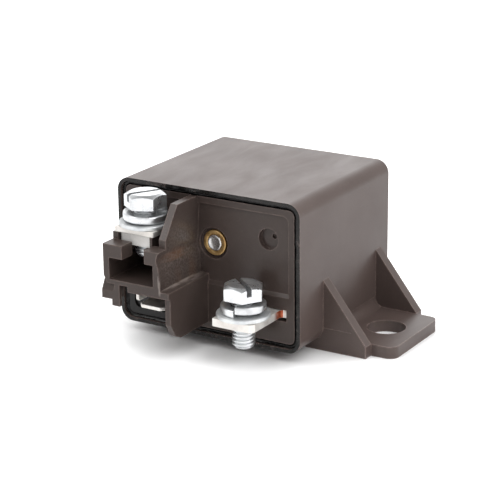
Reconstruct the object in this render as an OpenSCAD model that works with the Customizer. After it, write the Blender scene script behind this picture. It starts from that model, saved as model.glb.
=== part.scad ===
// Starter relay: moulded case with one mounting foot, front plate with connector, two screw terminals
// Millimetres. The origin is the axis of the mounting hole at the underside of the foot.
// Inside this file lengths are taken from the left wall (X), the front rim (Y, towards the back)
// and the underside of the foot (Z). The module part_frame moves each piece to the origin.

/* [Case] */
// Width of the case
case_w = 46; // [45:0.5:50]
// Depth of the case from the front rim to the back
case_d = 40; // [39.5:0.5:48]
// Height of the case
case_h = 33.2; // [32.8:0.2:37]
// Gap between the underside of the case and the surface that the foot stands on
case_gap = 2.2; // [1.5:0.1:2.6]
// Radius of the long edges of the case
case_edge_r = 3; // [2.4:0.1:4]
// Thickness of the side walls of the case
wall_t = 0.8; // [0.6:0.1:1.4]
// Thickness of the back wall of the case
back_t = 1.5; // [1:0.1:2]

/* [Mounting foot] */
// Reach of the foot beyond the side wall
foot_reach = 16; // [14.5:0.5:22]
// Reach of the foot in under the case
foot_under = 4.4; // [3.4:0.1:6]
// Thickness of the foot plate
foot_t = 2.7; // [2.3:0.1:3.4]
// Distance from the front rim to the front gusset
foot_start = 10; // [8:0.5:12]
// Width of the foot along the case, over both gussets
foot_w = 26.7; // [22:0.1:28]
// Thickness of each gusset
gusset_t = 2.5; // [1.6:0.1:3]
// Reach of each gusset beyond the side wall
gusset_reach = 10.4; // [8:0.2:13]
// Height of the top of each gusset above the surface that the foot stands on
gusset_top = 16.1; // [12:0.1:22]
// Diameter of the mounting hole
hole_d = 8.6; // [6.4:0.1:9.4]
// Distance from the side wall to the mounting hole
hole_out = 8.5; // [7.8:0.1:9.5]
// Radius of the two outer corners of the foot
foot_corner_r = 2.2; // [1:0.1:4]
// Radius of the blend between the foot plate and the side wall
foot_blend_r = 2.2; // [0.5:0.1:2.4]

/* [Front plate] */
// Distance from the front rim back to the face of the plate
plate_recess = 1.2; // [0.9:0.1:1.5]
// Thickness of the plate
plate_t = 2.6; // [2.2:0.1:2.8]
// Width of the band of sealant between the case and the plate
seal_w = 0.9; // [0.6:0.1:1.2]
// Width of the raised border round the plate
border_w = 1.5; // [0.8:0.1:1.8]
// Height of the raised border and of the lower pad of the plate
border_h = 0.5; // [0.3:0.1:0.7]
// Height of the top of the lower pad above the surface that the foot stands on
pad_top = 15; // [13:0.1:16]

/* [Connector] */
// Reach of the connector block in front of the rim
block_reach = 14.5; // [13.2:0.1:16]
// Left side of the connector block from the left wall of the case
block_left = 6; // [5.6:0.1:6.2]
// Thickness of the left wall of the connector block
block_wall = 1.5; // [1:0.1:1.5]
// Top of the connector block
block_top = 25; // [24.6:0.1:25.2]
// Underside of the lips that close the top of the upper chamber
lip_under = 22; // [21.6:0.1:22.4]
// Top of the floor between the upper chamber and the socket
floor_top = 17.2; // [16.8:0.1:17.4]
// Thickness of that floor
floor_t = 2.3; // [1.9:0.1:2.4]
// Left side of the wall between the two terminals
barrier_left = 18.7; // [18.2:0.1:18.8]
// Thickness of the upper wall between the two terminals
barrier_t = 1.7; // [1.4:0.1:2]
// Thickness of the lower wall between the two terminals
skirt_t = 1.3; // [1.1:0.1:1.6]
// Right side of the lower wall between the two terminals
skirt_right = 22.6; // [22.2:0.1:23]
// Underside of the lower wall
skirt_bottom = 5.3; // [4.6:0.1:6]

/* [Terminals] */
// Width of the two terminal strips
strip_w = 10; // [9.4:0.1:10.2]
// Thickness of the upper terminal strip
strip_1_t = 1.2; // [1:0.1:1.6]
// Thickness of the lower terminal strip, which is tapped
strip_t = 1.8; // [1.6:0.1:2.1]
// Reach of the terminal strips in front of the rim
strip_reach = 10.6; // [10:0.1:11.2]
// Distance from the front edge of a strip to its screw
screw_inset = 4.7; // [4.4:0.1:5]
// Middle of the upper terminal from the left wall of the case
terminal_1_x = 11.4; // [11.3:0.1:11.9]
// Top of the upper terminal strip
terminal_1_top = 27.8; // [27.6:0.1:28.4]
// Middle of the lower terminal from the right wall of the case
terminal_2_in = 10.3; // [10:0.1:11]
// Top of the lower terminal strip
terminal_2_top = 11.3; // [10.8:0.1:11.3]
// Width of the blade of the main coil tab
tab_w = 6.3; // [4.8:0.1:6.3]
// Thickness of the main coil tab
tab_t = 0.8; // [0.5:0.1:0.8]
// Middle of the main coil tab from the left wall of the case
tab_x = 15.7; // [15.4:0.1:16]
// Reach of the main coil tab in front of the rim
tab_reach = 11.2; // [9:0.1:12.5]
// Underside of the main coil tab
tab_under = 10.7; // [10.4:0.1:10.9]

/* [Screws and washers] */
// Diameter of the screw thread
thread_d = 4.95; // [4.5:0.05:5]
// Length of the screw below its head
screw_len = 11; // [9:0.5:12]
// Width across the flats of the screw head
head_flats = 8; // [7.6:0.1:8.4]
// Height of the screw head
head_h = 3.2; // [3:0.1:4]
// Width of the slot in the screw head
slot_w = 1.1; // [0.8:0.1:1.6]
// Outer diameter of the spring washers
spring_washer_d = 9.8; // [8.8:0.1:10]
// Thickness of the wire section of the spring washers
spring_washer_t = 1.7; // [1:0.1:2]
// Height by which the two ends of a spring washer stand apart
spring_lift = 0.8; // [0.4:0.1:1.1]
// Gap under the head of a screw that isn't tightened
head_gap = 0.6; // [0.1:0.1:0.8]
// Outer diameter of the flat washers
flat_washer_d = 11.6; // [10.6:0.1:11.8]
// Thickness of the flat washers
flat_washer_t = 0.85; // [0.7:0.05:1.2]
// Width across the flats of the square nut
nut_flats = 8; // [7.4:0.1:8]
// Height of the square nut
nut_h = 2.7; // [2.3:0.1:2.9]

/* [Magnet] */
// Diameter of the coil core
core_d = 6; // [5:0.1:6.4]
// Diameter of the pole face of the core
pole_d = 9.2; // [8:0.1:10]
// Thickness of the pole face of the core
pole_t = 1.5; // [1.2:0.1:2]
// Thickness of the flanges of the bobbin
flange_t = 1.2; // [0.8:0.1:1.6]
// Thickness of the yoke
yoke_t = 2; // [1.6:0.1:2.1]
// Thickness of the armature
armature_t = 1.8; // [1.4:0.1:1.9]
// Gap between the magnet and the strip legs on both sides of it
magnet_gap = 1.2; // [1:0.1:1.6]
// Room behind the open armature and its carrier
back_room = 2.06; // [1.8:0.02:2.6]
// Angle by which the armature stands open at rest
open_angle = 5.8; // [4:0.1:6.2]

/* [Contacts] */
// Gap between the left side wall and the leg of the upper strip
leg_1_in = 5.2; // [5:0.1:5.4]
// Gap between the right side wall and the leg of the lower strip
leg_2_in = 3.2; // [3:0.1:3.4]
// Width of the strip legs
leg_w = 6.8; // [6:0.1:7]
// Diameter of the contact buttons
contact_d = 4.4; // [3:0.1:4.6]
// Height of each contact button
contact_h = 0.9; // [0.7:0.05:1]
// Height of the contact bridge bar
bridge_w = 4; // [3:0.1:4.4]
// Thickness of the contact bridge bar
bridge_t = 1.2; // [1:0.1:1.3]

/* [Hidden] */
$fn = 48;

// Overrun of every cut beyond the face that it opens
cut = 0.5;
// Running gap between pieces that move past each other
run_gap = 0.05;
// Gap between pieces that are put together and stay still
seat_gap = 0.05;

// Place of the case and of the mounting hole
case_top = case_gap + case_h;
hole_x = case_w + hole_out;
hole_y = foot_start + foot_w / 2;
foot_root = case_w - foot_under;

// Place of the plate
plate_in = wall_t + seal_w;
plate_back = plate_recess + plate_t;
plate_left = plate_in;
plate_right = case_w - plate_in;
plate_low = case_gap + plate_in;
plate_high = case_top - plate_in;
plate_corner_r = 1.4;
seal_front = 0.6;
chamfer = 0.8;

// Round blind recess with a pin mark, to the right of the bush
gate_in = 8.3;
gate_x = case_w - gate_in;
gate_z = 26.5;
gate_d = 4.7;
gate_t = 1.1;
gate_pin_t = 0.7;
gate_off = 0.9;
gate_pin_d = 1.1;

// Strip legs inside the case, which leave the magnet its room
leg_1_x = wall_t + leg_1_in + leg_w / 2;
leg_2_x = case_w - wall_t - leg_2_in - leg_w / 2;

// Front faces of what stands in front of the plate
block_front = -block_reach;
barrier_front = -11.8;
barrier_top_front = -7.1;
barrier_right = barrier_left + barrier_t;
skirt_front = -13.9;
skirt_left = skirt_right - skirt_t;
skirt_chamfer = 3.7;
floor_under = floor_top - floor_t;
thin_floor_right = 12.1;
thin_floor_t = 1;
lip_depth = 3.9;
right_post_t = 0.6;
lip_left_right = 10.9;
lip_right_left = 16.6;
nut_rail_w = 1.2;

// Hook and latch nose at the left lower corner of the connector
hook_left = 8;
hook_right = 10;
hook_bottom = 11.3;
hook_t = 0.8;
nose_left = 5.4;
nose_bottom = 12.7;
nose_depth = 3;
nose_chamfer = 1.1;
side_lug_out = 1.3;
side_lug_low = 17.4;
side_lug_high = 19.6;
side_lug_t = 2.6;

// Magnet: the coil lies along Y behind the plate
coil_x = (leg_1_x + leg_2_x) / 2;
coil_z = 23.4;
contact_out = (leg_2_x - leg_1_x) / 2;
yoke_w = 2 * (contact_out - leg_w / 2 - magnet_gap);
flange_in = 0.5;
flange_under = 1.7;
winding_in = 0.9;
// The flanges fit between the sides of the yoke and under the top of the case
flange_d = min(yoke_w - 2 * flange_in, 2 * (case_top - wall_t - flange_under - coil_z));
winding_d = flange_d - 2 * winding_in;
rivet_d = 3.56;
bush_d = 5.8;
bush_recess_d = 7;
bush_recess_t = 0.9;
bush_stand = 0.4;
neck_d = 4.8;
tube_wall = 0.8;
bobbin_tube_d = core_d + 2 * tube_wall;
yoke_front = plate_back + bush_stand;
yoke_back = yoke_front + yoke_t;
yoke_low = coil_z - flange_d / 2 - flange_in - yoke_t;
yoke_above = 8;
yoke_high = coil_z + yoke_above;
tongue_w = 2.2;
tongue_in = 2;
tongue_x = yoke_w / 2 - tongue_in;
pole_gap = 0.1;
pole_in = 0.1;

// Carrier, bridge and contacts behind the closed armature
contact_up = 1;
contact_z = coil_z + contact_up;
contact_gap = 0.1;
leg_gap = 1.5;
bridge_spring_len = 1.8;
overtravel = 0.5;
carrier_back_t = 1;
carrier_above = 6.2;
carrier_below = 5.6;
carrier_high = coil_z + carrier_above;
carrier_low = coil_z - carrier_below;
contact_stack = leg_gap + strip_t + 2 * contact_h + contact_gap + bridge_t + bridge_spring_len + carrier_back_t;

// The bobbin takes what the case leaves between the yoke and the stack of contacts with its swing
hinge_z = yoke_low + yoke_t / 2;
swing_room = (carrier_high - hinge_z) * sin(open_angle) + back_room;
bobbin_front = yoke_back;
bobbin_len = case_d - back_t - swing_room - contact_stack - pole_gap - pole_t - bobbin_front;
bobbin_back = bobbin_front + bobbin_len;
pole_face = bobbin_back + pole_t;
yoke_end = pole_face - pole_in;
tongue_out = armature_t + 3 * pole_gap + 2 * run_gap + overtravel;

// Armature, drawn closed against the pole and then swung open
armature_front = pole_face + pole_gap;
armature_back = armature_front + armature_t;
armature_in = 0.2;
armature_top = yoke_high - armature_in;
armature_up = 0.3;
armature_low = yoke_low + armature_up;
notch_gap = 0.2;
hinge_y = (armature_front + armature_back) / 2;
tail_w = 3;
tail_len = 3.6;
tail_low = yoke_low - tail_len;

// Contacts, drawn closed
leg_front = armature_front + leg_gap;
leg_back = leg_front + strip_t;
fixed_face = leg_back + contact_h;
moving_face = fixed_face + contact_gap;
bridge_front = moving_face + contact_h;
bridge_back = bridge_front + bridge_t;
bridge_over = 1;
bridge_half = contact_out + contact_d / 2 + bridge_over;

// Insulating carrier on the back of the armature
carrier_in = 3;
carrier_w = yoke_w - 2 * carrier_in;
carrier_back = bridge_back + bridge_spring_len + carrier_back_t;
window_gap = 0.15;
carrier_rivet_d = 2.4;
rivet_head_d = 3.8;
rivet_head_t = 0.6;
carrier_rivet_z = carrier_low + rivet_head_d / 2;
carrier_wall_front = bridge_front - rivet_head_t;

// Springs
bridge_spring_d = 3.6;
bridge_wire_d = 0.45;
bridge_spring_turns = 3;
tail_spring_d = 2.4;
tail_wire_d = 0.35;
tail_spring_turns = 12;
tail_spring_z = (tail_low + yoke_low) / 2;
tail_drop = hinge_z - tail_spring_z + tail_spring_d / 2;
tail_spring_end = hinge_y - armature_t / 2 / cos(open_angle) - tail_drop * tan(open_angle) - seat_gap;
anchor_out = 4;
anchor_y = yoke_back + anchor_out;
anchor_w = 3;
anchor_t = 1.2;

// Terminals
terminal_2_x = case_w - terminal_2_in;
screw_y = screw_inset - strip_reach;
strip_hole_d = thread_d + 2 * run_gap;
clearance_hole_d = thread_d + 12 * run_gap;
leg_over = 3;
leg_1_low = contact_z - leg_over;
leg_2_high = contact_z + leg_over;
strip_in = plate_back + seat_gap;
slot_gap = 0.3;
slot_under = 0.6;
slot_over = 0.2;
slot_2_right = leg_2_x + leg_w / 2 + slot_gap;
strip_nick = 0.2;
strip_corner = 1;
shoulder_y = plate_recess;
shoulder_r = 0.9;
tail_1_x = 12.5;
tail_1_w = 1.8;
small_tab_x = 11;
small_tab_t = 0.8;
small_tab_h = 2.8;
small_tab_under = 11.2;
small_tab_reach = 9.3;
small_tail_len = 6;
small_tab_inner = plate_back + small_tail_len;
lead_d = 0.8;
lead_apart = 2.4;
tab_inner = bobbin_front + flange_t + 1.5 * lead_d + seat_gap;
lead_main_z = coil_z - lead_apart;
lead_small_z = coil_z;

// Screws and washers
spring_washer_w = 2.2;
spring_steps = 30;
spring_split = 4;
spring_low = run_gap + flat_washer_t;
head_low = spring_low + spring_washer_t + spring_lift + head_gap;
head_corner_d = head_flats * 2 / sqrt(3);
head_chamfer_angle = 30;
// Share of the head's half width at which its crown starts
crown_share = 0.86;
slot_depth = 1.8;
tip_chamfer = 0.6;
head_turn_1 = -34.5;
head_turn_2 = -61.5;
slot_turn_1 = 58;
slot_turn_2 = -40;
split_turn_1 = 50;
split_turn_2 = -82;
nut_chamfer = 0.3;

module part_frame() {
  translate([-hole_x, -hole_y, 0]) children();
}

// A block between two corners
module block(low, high) {
  translate(low) cube(high - low);
}

// A profile in X and Z, run along Y from one place to another
module along_y(front, back) {
  translate([0, back, 0]) rotate([90, 0, 0]) linear_extrude(back - front) children();
}

// A profile in Y and Z, run along X from one place to another
module along_x(left, right) {
  translate([left, 0, 0]) rotate([90, 0, 90]) linear_extrude(right - left) children();
}

// A round bar along Y through a point in X and Z
module bar_y(x, z, d, front, back) {
  translate([x, back, z]) rotate([90, 0, 0]) cylinder(d = d, h = back - front);
}

// A rectangle in X and Z with four round corners
module round_box(left, right, low, high, r) {
  translate([left + r, low]) square([right - left - 2 * r, high - low]);
  translate([left, low + r]) square([right - left, high - low - 2 * r]);
  for (x = [left + r, right - r], z = [low + r, high - r]) translate([x, z]) circle(r);
}

// Outline of the case, drawn in by a distance
module case_outline(inset) {
  round_box(inset, case_w - inset, case_gap + inset, case_top - inset, max(case_edge_r - inset, chamfer));
}

// Outline of the front plate, drawn in by a distance
module plate_outline(inset) {
  round_box(plate_left + inset, plate_right - inset, plate_low + inset, plate_high - inset, plate_corner_r);
}

// Side view of one gusset
module gusset_outline() {
  wall = case_w - wall_t / 2;
  polygon([
    [foot_root, 0], [case_w + gusset_reach, 0], [case_w + gusset_reach, foot_t], [case_w, gusset_top],
    [wall, gusset_top], [wall, case_gap + case_edge_r], [foot_root, case_gap + wall_t / 2]
  ]);
}

// Top view of the foot plate
module foot_outline() {
  front = foot_start + gusset_t;
  back = foot_start + foot_w - gusset_t;
  end = case_w + foot_reach;
  translate([foot_root, front]) square([end - foot_corner_r - foot_root, back - front]);
  translate([foot_root, front + foot_corner_r]) square([end - foot_root, back - front - 2 * foot_corner_r]);
  for (y = [front + foot_corner_r, back - foot_corner_r]) translate([end - foot_corner_r, y]) circle(foot_corner_r);
}

// Blend between the foot plate and the side wall
module foot_blend() {
  difference() {
    translate([case_w - wall_t / 2, foot_t - cut]) square([foot_blend_r + wall_t / 2, foot_blend_r + cut]);
    translate([case_w + foot_blend_r, foot_t + foot_blend_r]) circle(foot_blend_r);
  }
}

module housing() {
  color("#3b3532") part_frame() difference() {
    union() {
      along_y(0, case_d) case_outline(0);
      for (y = [foot_start, foot_start + foot_w - gusset_t]) along_y(y, y + gusset_t) gusset_outline();
      linear_extrude(foot_t) foot_outline();
      along_y(foot_start + gusset_t - cut, foot_start + foot_w - gusset_t + cut) foot_blend();
    }
    along_y(-cut, case_d - back_t) case_outline(wall_t);
    translate([hole_x, hole_y, -cut]) cylinder(d = hole_d, h = foot_t + 2 * cut);
  }
}

// Side view of the upper wall between the terminals
module barrier_outline() {
  polygon([
    [plate_recess + cut, plate_high], [barrier_top_front, plate_high],
    [barrier_front, terminal_1_top - chamfer], [barrier_front, block_top],
    [block_front, block_top], [block_front, floor_under], [plate_recess + cut, floor_under]
  ]);
}

// Side view of the lower wall between the terminals
module skirt_outline() {
  polygon([
    [plate_recess + cut, floor_top - chamfer], [skirt_front, floor_top - chamfer],
    [skirt_front, skirt_bottom + skirt_chamfer], [skirt_front + skirt_chamfer / 2, skirt_bottom + chamfer],
    [skirt_front + skirt_chamfer, skirt_bottom], [plate_recess + cut, skirt_bottom]
  ]);
}

// Connector block: upper chamber, rails for the nut, floor, hook and latch nose
module connector() {
  root = plate_recess + cut;
  left_in = block_left + block_wall;
  nut_low = terminal_1_top - strip_1_t - nut_h;
  nut_left = terminal_1_x - nut_flats / 2;
  nut_right = terminal_1_x + nut_flats / 2;
  post_right = min(nut_left - seat_gap, left_in);
  // left wall with its lower edge cut off, thinner beside the nut
  along_y(block_front, root) polygon([
    [block_left, floor_top + chamfer], [block_left + chamfer, floor_top - thin_floor_t],
    [left_in, floor_top - thin_floor_t], [left_in, nut_low], [post_right, nut_low],
    [post_right, block_top], [block_left, block_top]
  ]);
  // lips that close the top of the chamber at the front
  block([block_left, block_front, lip_under], [lip_left_right, block_front + lip_depth, block_top]);
  block([lip_right_left, block_front, lip_under], [barrier_left + cut, block_front + lip_depth, block_top]);
  // rails that carry the nut and posts that carry the strip
  block([left_in - cut, block_front + lip_depth - cut, lip_under], [nut_left + nut_rail_w, root, nut_low]);
  block([nut_right - nut_rail_w, block_front + lip_depth - cut, lip_under], [barrier_left + cut, root, nut_low]);
  block([block_left, -strip_reach, block_top - cut], [post_right, root, terminal_1_top - strip_1_t]);
  block([nut_right + seat_gap, -strip_reach, nut_low - cut],
        [nut_right + seat_gap + right_post_t, root, terminal_1_top - strip_1_t]);
  // floor
  block([block_left + chamfer, block_front, floor_top - thin_floor_t], [thin_floor_right + cut, root, floor_top]);
  block([thin_floor_right, block_front, floor_under], [skirt_right, root, floor_top - chamfer]);
  block([thin_floor_right, block_front, floor_under], [barrier_right, root, floor_top]);
  // hook with its upper left corner cut off
  along_y(block_front, block_front + hook_t) polygon([
    [hook_left, hook_bottom], [hook_right, hook_bottom], [hook_right, floor_top - thin_floor_t / 2],
    [hook_left + nose_chamfer, floor_top - thin_floor_t / 2], [hook_left, floor_top - thin_floor_t - nose_chamfer]
  ]);
  // latch nose
  along_x(nose_left, hook_left + nose_chamfer) polygon([
    [block_front, nose_bottom], [block_front + nose_depth, nose_bottom],
    [block_front + nose_depth, floor_top - thin_floor_t / 2],
    [block_front + nose_chamfer, floor_top - thin_floor_t / 2],
    [block_front, floor_top - thin_floor_t / 2 - nose_chamfer]
  ]);
  // lug on the left side
  block([block_left - side_lug_out, block_front + side_lug_t, side_lug_low],
        [block_left + cut, block_front + 2 * side_lug_t, side_lug_high]);
}

module base_plate() {
  root = plate_recess + cut;
  color("#3a3330") part_frame() difference() {
    union() {
      along_y(plate_recess, plate_back) plate_outline(0);
      // raised border
      difference() {
        along_y(plate_recess - border_h, root) plate_outline(0);
        along_y(plate_recess - border_h - cut, root + cut) plate_outline(border_w);
      }
      // lower pad with a chamfered top edge
      intersection() {
        along_x(barrier_left, plate_right) polygon([
          [root, plate_low], [plate_recess - border_h, plate_low], [plate_recess - border_h, pad_top - chamfer],
          [plate_recess, pad_top], [root, pad_top]
        ]);
        along_y(plate_recess - border_h - cut, root + cut) plate_outline(0);
      }
      along_x(barrier_left, barrier_right) barrier_outline();
      along_x(skirt_left, skirt_right) skirt_outline();
      connector();
    }
    // seat of the bush and the round recess before it
    bar_y(coil_x, coil_z, bush_d + 2 * seat_gap, plate_recess - cut, plate_back + cut);
    bar_y(coil_x, coil_z, bush_recess_d, plate_recess - cut, plate_recess + bush_recess_t);
    // round blind recess with a pin hole
    bar_y(gate_x, gate_z, gate_d, plate_recess - cut, plate_recess + gate_t);
    bar_y(gate_x + gate_off, gate_z + gate_off / 2, gate_pin_d, plate_recess - cut, plate_recess + gate_t + gate_pin_t);
    // slots for the terminal strips and the coil tabs
    block([terminal_1_x - strip_w / 2 - slot_gap, plate_recess - cut, terminal_1_top - strip_1_t - seat_gap],
          [terminal_1_x + strip_w / 2 + slot_gap, plate_back + cut, terminal_1_top + seat_gap]);
    block([terminal_2_x - strip_w / 2 - slot_gap, plate_recess - border_h - cut, terminal_2_top - strip_t - slot_under],
          [slot_2_right, plate_back + cut, terminal_2_top + slot_over]);
    block([tab_x - tab_w / 2 - seat_gap, plate_recess - border_h - cut, tab_under - seat_gap],
          [tab_x + tab_w / 2 + seat_gap, plate_back + cut, tab_under + tab_t + seat_gap]);
    block([small_tab_x - small_tab_t / 2 - seat_gap, plate_recess - cut, small_tab_under - seat_gap],
          [small_tab_x + small_tab_t / 2 + seat_gap, plate_back + cut, small_tab_under + small_tab_h + seat_gap]);
  }
}

module sealing_ring() {
  color("#141414") part_frame() difference() {
    along_y(seal_front, plate_back) case_outline(wall_t);
    along_y(seal_front - cut, plate_back + cut) plate_outline(0);
  }
}

module core_bush() {
  color("#b08d3c") part_frame() difference() {
    bar_y(coil_x, coil_z, bush_d, plate_recess + bush_recess_t / 3, yoke_front);
    bar_y(coil_x, coil_z, rivet_d + 2 * seat_gap, plate_recess - cut, yoke_front + cut);
  }
}

module coil_core() {
  color("#9a9a98") part_frame() {
    bar_y(coil_x, coil_z, rivet_d, plate_recess + bush_recess_t / 6, yoke_front + cut);
    bar_y(coil_x, coil_z, neck_d, yoke_front, yoke_back + cut);
    bar_y(coil_x, coil_z, core_d, yoke_back, pole_face - cut);
    bar_y(coil_x, coil_z, pole_d, bobbin_back, pole_face);
  }
}

module coil_bobbin() {
  color("#d8d2c0") part_frame() difference() {
    union() {
      bar_y(coil_x, coil_z, flange_d, bobbin_front, bobbin_front + flange_t);
      bar_y(coil_x, coil_z, bobbin_tube_d, bobbin_front, bobbin_back);
      bar_y(coil_x, coil_z, flange_d, bobbin_back - flange_t, bobbin_back);
    }
    bar_y(coil_x, coil_z, core_d + 2 * seat_gap, bobbin_front - cut, bobbin_back + cut);
  }
}

module coil_winding() {
  color("#b5622e") part_frame() difference() {
    bar_y(coil_x, coil_z, winding_d, bobbin_front + flange_t, bobbin_back - flange_t);
    bar_y(coil_x, coil_z, bobbin_tube_d, bobbin_front, bobbin_back);
  }
}

// A wire that climbs from a tab and turns in to the winding
module coil_lead(x, y, low, high) {
  off = max(0, abs(high - coil_z) - lead_d / 2);
  turn_in = coil_x - sqrt(pow(winding_d / 2, 2) - pow(off, 2));
  color("#b5622e") part_frame() {
    translate([x, y, low]) cylinder(d = lead_d, h = high - low);
    translate([x, y, high]) sphere(d = lead_d);
    translate([x, y, high]) rotate([0, 90, 0]) cylinder(d = lead_d, h = turn_in - x);
  }
}

module coil_lead_main() {
  coil_lead(tail_1_x + lead_d / 2, tab_inner - lead_d, tab_under + tab_t, lead_main_z);
}

module coil_lead_small() {
  coil_lead(small_tab_x, small_tab_inner - lead_d, small_tab_under + small_tab_h, lead_small_z);
}

module yoke() {
  color("#8f9092") part_frame() difference() {
    union() {
      block([coil_x - yoke_w / 2, yoke_front, yoke_low], [coil_x + yoke_w / 2, yoke_back, yoke_high]);
      block([coil_x - yoke_w / 2, yoke_front, yoke_low], [coil_x + yoke_w / 2, yoke_end, yoke_low + yoke_t]);
      // two tongues that carry the armature
      for (side = [-1, 1]) {
        x = coil_x + side * tongue_x;
        block([x - tongue_w / 2, yoke_end - cut, yoke_low], [x + tongue_w / 2, yoke_end + tongue_out, yoke_low + yoke_t]);
      }
      // lug that holds the spring
      block([coil_x - anchor_w / 2, anchor_y, tail_low], [coil_x + anchor_w / 2, anchor_y + anchor_t, yoke_low + cut]);
    }
    bar_y(coil_x, coil_z, neck_d + 2 * seat_gap, yoke_front - cut, yoke_back + cut);
  }
}

// Turn about the edge that the armature rocks on
module swing(angle) {
  translate([0, hinge_y, hinge_z]) rotate([-angle, 0, 0]) translate([0, -hinge_y, -hinge_z]) children();
}

module armature() {
  color("#9b9c9e") part_frame() swing(open_angle) difference() {
    union() {
      block([coil_x - yoke_w / 2, armature_front, armature_low], [coil_x + yoke_w / 2, armature_back, armature_top]);
      block([coil_x - tail_w / 2, armature_front, tail_low], [coil_x + tail_w / 2, armature_back, armature_low + cut]);
    }
    for (side = [-1, 1]) {
      x = coil_x + side * tongue_x;
      half = tongue_w / 2 + notch_gap;
      block([x - half, armature_front - cut, armature_low - cut],
            [x + half, armature_back + cut, yoke_low + yoke_t + notch_gap]);
    }
    bar_y(coil_x, carrier_rivet_z, carrier_rivet_d + 2 * seat_gap, armature_front - cut, armature_back + cut);
  }
}

// A coil spring along Y as one swept tube
module coil_spring(x, z, d, wire_d, front, back, turns, steps_per_turn, sides) {
  r = (d - wire_d) / 2;
  rings = turns * steps_per_turn;
  pitch = (back - front - wire_d) / turns;
  points = [
    for (i = [0 : rings], j = [0 : sides - 1])
      let (
        turn_at = 360 * i / steps_per_turn,
        side_at = 360 * j / sides,
        reach = r + wire_d / 2 * cos(side_at)
      )
      [x + reach * cos(turn_at), front + wire_d / 2 + pitch * i / steps_per_turn + wire_d / 2 * sin(side_at),
       z + reach * sin(turn_at)]
  ];
  walls = [
    for (i = [0 : rings - 1], j = [0 : sides - 1])
      let (a = i * sides + j, b = i * sides + (j + 1) % sides)
      each [[a, b + sides, b], [a, a + sides, b + sides]]
  ];
  first_end = [for (j = [0 : sides - 1]) j];
  last_end = [for (j = [sides - 1 : -1 : 0]) rings * sides + j];
  polyhedron(points, concat([first_end], walls, [last_end]), convexity = 10);
}

module armature_spring() {
  color("#c9cacc") part_frame()
    coil_spring(coil_x, tail_spring_z, tail_spring_d, tail_wire_d,
                anchor_y + anchor_t, tail_spring_end, tail_spring_turns, 10, 6);
}

module contact_carrier() {
  half = carrier_w / 2;
  bridge_low = contact_z - bridge_w / 2 - window_gap;
  bridge_high = contact_z + bridge_w / 2 + window_gap;
  color("#c9b98f") part_frame() swing(open_angle) difference() {
    block([coil_x - half, armature_back, carrier_low], [coil_x + half, carrier_back, carrier_high]);
    // window for the bridge and its travel
    block([coil_x - half - cut, bridge_front, bridge_low], [coil_x + half + cut, carrier_back - carrier_back_t, bridge_high]);
    // opening for the rivet
    bar_y(coil_x, carrier_rivet_z, carrier_rivet_d + 2 * seat_gap, armature_back - cut, carrier_wall_front + cut);
    bar_y(coil_x, carrier_rivet_z, rivet_head_d + 2 * seat_gap, carrier_wall_front, carrier_back + cut);
  }
}

module carrier_rivet() {
  color("#b9babc") part_frame() swing(open_angle) {
    bar_y(coil_x, carrier_rivet_z, carrier_rivet_d, armature_front + pole_gap, carrier_wall_front + cut);
    bar_y(coil_x, carrier_rivet_z, rivet_head_d, carrier_wall_front, carrier_wall_front + rivet_head_t);
  }
}

module contact_bridge() {
  color("#b87333") part_frame() swing(open_angle)
    block([coil_x - bridge_half, bridge_front, contact_z - bridge_w / 2],
          [coil_x + bridge_half, bridge_back, contact_z + bridge_w / 2]);
}

module moving_contacts() {
  color("#d5d5d0") part_frame() swing(open_angle)
    for (side = [-1, 1]) bar_y(coil_x + side * contact_out, contact_z, contact_d, moving_face, bridge_front);
}

module bridge_spring() {
  color("#c9cacc") part_frame() swing(open_angle)
    coil_spring(coil_x, contact_z, bridge_spring_d, bridge_wire_d,
                bridge_back, carrier_back - carrier_back_t, bridge_spring_turns, 14, 6);
}

module fixed_contacts() {
  color("#d5d5d0") part_frame()
    for (side = [-1, 1]) bar_y(coil_x + side * contact_out, contact_z, contact_d, leg_back, fixed_face);
}

// Top view of the outer end of a terminal strip, with its two front corners cut off
module strip_end(x, back, right_corner) {
  half = strip_w / 2;
  polygon([
    [x - half, back], [x - half, strip_nick - strip_reach], [x - half + strip_nick, -strip_reach],
    [x + half - right_corner, -strip_reach], [x + half, right_corner - strip_reach], [x + half, back]
  ]);
}

// Concave blend in front of the shoulder of the lower strip
module shoulder_blend() {
  side = terminal_2_x + strip_w / 2;
  r = min(shoulder_r, leg_2_x + leg_w / 2 - side);
  difference() {
    translate([side - cut, shoulder_y - r]) square([r + cut, r + cut]);
    translate([side + r, shoulder_y - r]) circle(r);
  }
}

module terminal_strip_1() {
  low = terminal_1_top - strip_1_t;
  color("#d9d4cc") part_frame() difference() {
    union() {
      translate([0, 0, low]) linear_extrude(strip_1_t) strip_end(terminal_1_x, strip_in + seat_gap, strip_nick);
      block([leg_1_x - leg_w / 2, strip_in, low], [leg_1_x + leg_w / 2, leg_back, terminal_1_top]);
      block([leg_1_x - leg_w / 2, leg_back - strip_1_t, leg_1_low], [leg_1_x + leg_w / 2, leg_back, terminal_1_top]);
    }
    translate([terminal_1_x, screw_y, low - cut]) cylinder(d = clearance_hole_d, h = strip_1_t + 2 * cut);
  }
}

module terminal_strip_2() {
  low = terminal_2_top - strip_t;
  color("#d9d4cc") part_frame() difference() {
    union() {
      translate([0, 0, low]) linear_extrude(strip_t) {
        strip_end(terminal_2_x, strip_in, strip_corner);
        shoulder_blend();
      }
      block([leg_2_x - leg_w / 2, shoulder_y, low], [leg_2_x + leg_w / 2, leg_back, terminal_2_top]);
      block([leg_2_x - leg_w / 2, leg_front, low], [leg_2_x + leg_w / 2, leg_back, leg_2_high]);
    }
    translate([terminal_2_x, screw_y, low - cut]) cylinder(d = strip_hole_d, h = strip_t + 2 * cut);
  }
}

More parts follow.
